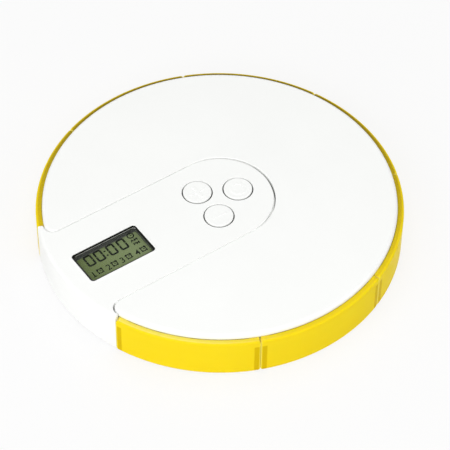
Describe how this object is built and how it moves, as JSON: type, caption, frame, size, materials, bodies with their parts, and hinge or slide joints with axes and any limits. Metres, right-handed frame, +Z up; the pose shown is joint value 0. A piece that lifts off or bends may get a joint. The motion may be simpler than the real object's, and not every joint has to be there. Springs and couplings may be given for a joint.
{
  "type": "electronic pill box",
  "caption": "Round pill box with a flat white cover, a timer with display and buttons, and yellow wedge drawers that slide out around the rim.",
  "frame": {"origin": "centre of the round box on the plane that its feet rest on", "axes": "+Z up, +X from the display past the buttons, +Y 90 degrees to the left of +X"},
  "size_m": [0.13, 0.13, 0.0179],
  "materials": {
    "white_plastic": "satin",
    "button_white": "satin",
    "yellow_clear_plastic": "gloss",
    "grey_rubber": "matte",
    "strip_rubber": "matte",
    "black_plastic": "matte",
    "clear_lens": "gloss",
    "display_glass": "satin",
    "board_green": "satin",
    "component_tan": "matte",
    "steel": "satin",
    "bright_metal": "satin"
  },
  "bodies": {
    "base": {"base_tray": "white_plastic", "rubber_feet": "grey_rubber", "top_cover": "white_plastic", "timer_housing": "white_plastic", "cover_screws": "steel", "housing_screws": "steel", "board_screws": "steel", "display_lens": "clear_lens", "display_frame": "black_plastic", "display_panel": "display_glass", "contact_strips": "strip_rubber", "circuit_board": "board_green", "timer_chip": "black_plastic", "buzzer": "black_plastic", "crystal": "bright_metal", "board_components": "component_tan", "tact_switches": "black_plastic", "battery": "bright_metal", "battery_contact_positive": "bright_metal", "battery_contact_negative": "bright_metal"},
    "drawer_1": {"drawer_1": "yellow_clear_plastic"},
    "drawer_2": {"drawer_2": "yellow_clear_plastic"},
    "drawer_3": {"drawer_3": "yellow_clear_plastic"},
    "drawer_4": {"drawer_4": "yellow_clear_plastic"},
    "drawer_5": {"drawer_5": "yellow_clear_plastic"},
    "drawer_6": {"drawer_6": "yellow_clear_plastic"},
    "drawer_7": {"drawer_7": "yellow_clear_plastic"},
    "hour_key": {"hour_button": "button_white", "hour_plunger": "black_plastic"},
    "minute_key": {"minute_button": "button_white", "minute_plunger": "black_plastic"},
    "set_key": {"set_button": "button_white", "set_plunger": "black_plastic"},
    "battery_door": {"battery_door": "white_plastic"}
  },
  "joints": [
    {"name": "drawer_1_slide", "type": "slide", "parent": "base", "child": "drawer_1", "axis": [-0.7071, -0.7071, 0], "range_m": [0, 0.026]},
    {"name": "drawer_2_slide", "type": "slide", "parent": "base", "child": "drawer_2", "axis": [0, -1, 0], "range_m": [0, 0.026]},
    {"name": "drawer_3_slide", "type": "slide", "parent": "base", "child": "drawer_3", "axis": [0.7071, -0.7071, 0], "range_m": [0, 0.026]},
    {"name": "drawer_4_slide", "type": "slide", "parent": "base", "child": "drawer_4", "axis": [1, 0, 0], "range_m": [0, 0.026]},
    {"name": "drawer_5_slide", "type": "slide", "parent": "base", "child": "drawer_5", "axis": [0.7071, 0.7071, 0], "range_m": [0, 0.026]},
    {"name": "drawer_6_slide", "type": "slide", "parent": "base", "child": "drawer_6", "axis": [0, 1, 0], "range_m": [0, 0.026]},
    {"name": "drawer_7_slide", "type": "slide", "parent": "base", "child": "drawer_7", "axis": [-0.7071, 0.7071, 0], "range_m": [0, 0.026]},
    {"name": "hour_press", "type": "slide", "parent": "base", "child": "hour_key", "axis": [0, 0, -1], "range_m": [0, 0.0005], "stiffness_N_per_m": 1000, "springref_m": -0.0005},
    {"name": "minute_press", "type": "slide", "parent": "base", "child": "minute_key", "axis": [0, 0, -1], "range_m": [0, 0.0005], "stiffness_N_per_m": 1000, "springref_m": -0.0005},
    {"name": "set_press", "type": "slide", "parent": "base", "child": "set_key", "axis": [0, 0, -1], "range_m": [0, 0.0005], "stiffness_N_per_m": 1000, "springref_m": -0.0005},
    {"name": "battery_door_turn", "type": "hinge", "parent": "base", "child": "battery_door", "pos_m": [0, 0, 0.0013], "axis": [0, 0, 1], "range_deg": [0, 60]}
  ]
}
